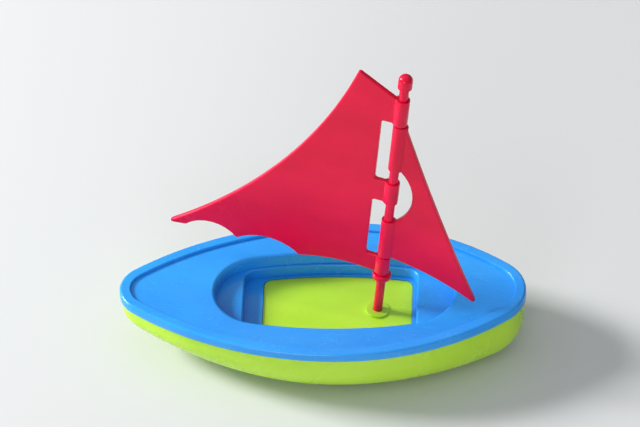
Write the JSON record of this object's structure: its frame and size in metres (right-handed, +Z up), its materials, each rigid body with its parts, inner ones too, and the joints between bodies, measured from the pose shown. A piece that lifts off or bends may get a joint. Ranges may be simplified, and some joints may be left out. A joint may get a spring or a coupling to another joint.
{
  "type": "toy sailing boat",
  "caption": "Small moulded toy sailing boat: closed hull, deck with an open cockpit, a raked mast that plugs in, and a mainsail and jib that turn on it.",
  "frame": {"origin": "middle of the hull's length and beam, on the flat bottom that the boat stands on", "axes": "+X towards the bow, +Y towards port, +Z up"},
  "size_m": [0.13, 0.062, 0.1126],
  "materials": {
    "lime_plastic": "glossy moulded polypropylene, slightly translucent",
    "blue_plastic": "glossy moulded polypropylene",
    "red_plastic": "glossy moulded polypropylene"
  },
  "bodies": {
    "hull": {"hull_shell": "lime_plastic", "cockpit_floor": "lime_plastic", "deck": "blue_plastic"},
    "mast": {"mast": "red_plastic", "masthead_cap": "red_plastic"},
    "mainsail": {"mainsail": "red_plastic"},
    "jib": {"jib": "red_plastic"}
  },
  "joints": [
    {"name": "mast_lift", "type": "slide", "parent": "hull", "child": "mast", "axis": [0.108, 0, 0.9942], "range_m": [0, 0.02]},
    {"name": "mainsail_turn", "type": "hinge", "parent": "mast", "child": "mainsail", "pos_m": [0.01964, 0, 0.0335], "axis": [0.108, 0, 0.9942], "continuous": true},
    {"name": "jib_turn", "type": "hinge", "parent": "mainsail", "child": "jib", "pos_m": [0.01964, 0, 0.0335], "axis": [0.108, 0, 0.9942], "range_deg": [-150, 150]}
  ]
}
